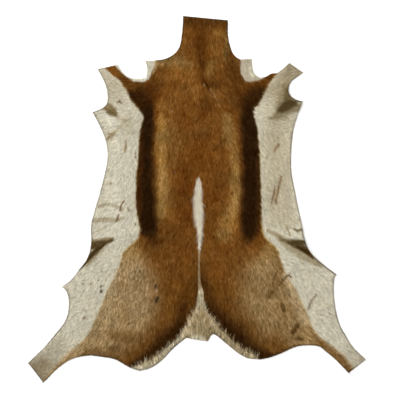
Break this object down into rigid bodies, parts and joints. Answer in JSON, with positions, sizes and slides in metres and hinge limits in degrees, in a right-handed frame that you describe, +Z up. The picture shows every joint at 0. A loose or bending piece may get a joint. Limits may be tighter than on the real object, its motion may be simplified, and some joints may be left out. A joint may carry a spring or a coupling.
{
  "type": "springbok hide",
  "caption": "Flat tanned antelope hide with its hair on: fawn back, dark flank bands, white belly and a white crest, laid hair side up as a small rug.",
  "frame": {"origin": "on the surface it lies on, under the middle of the hide's box", "axes": "+Y towards the neck, +X to the right seen from above with the neck up, +Z up out of the hair side"},
  "size_m": [0.944, 1.026, 0.0134],
  "materials": {
    "coat": "short lying hair, matt with a slight sheen",
    "skin": "undyed suede flesh side and cut edges"
  },
  "bodies": {
    "root": {"hide": "coat"}
  },
  "joints": []
}
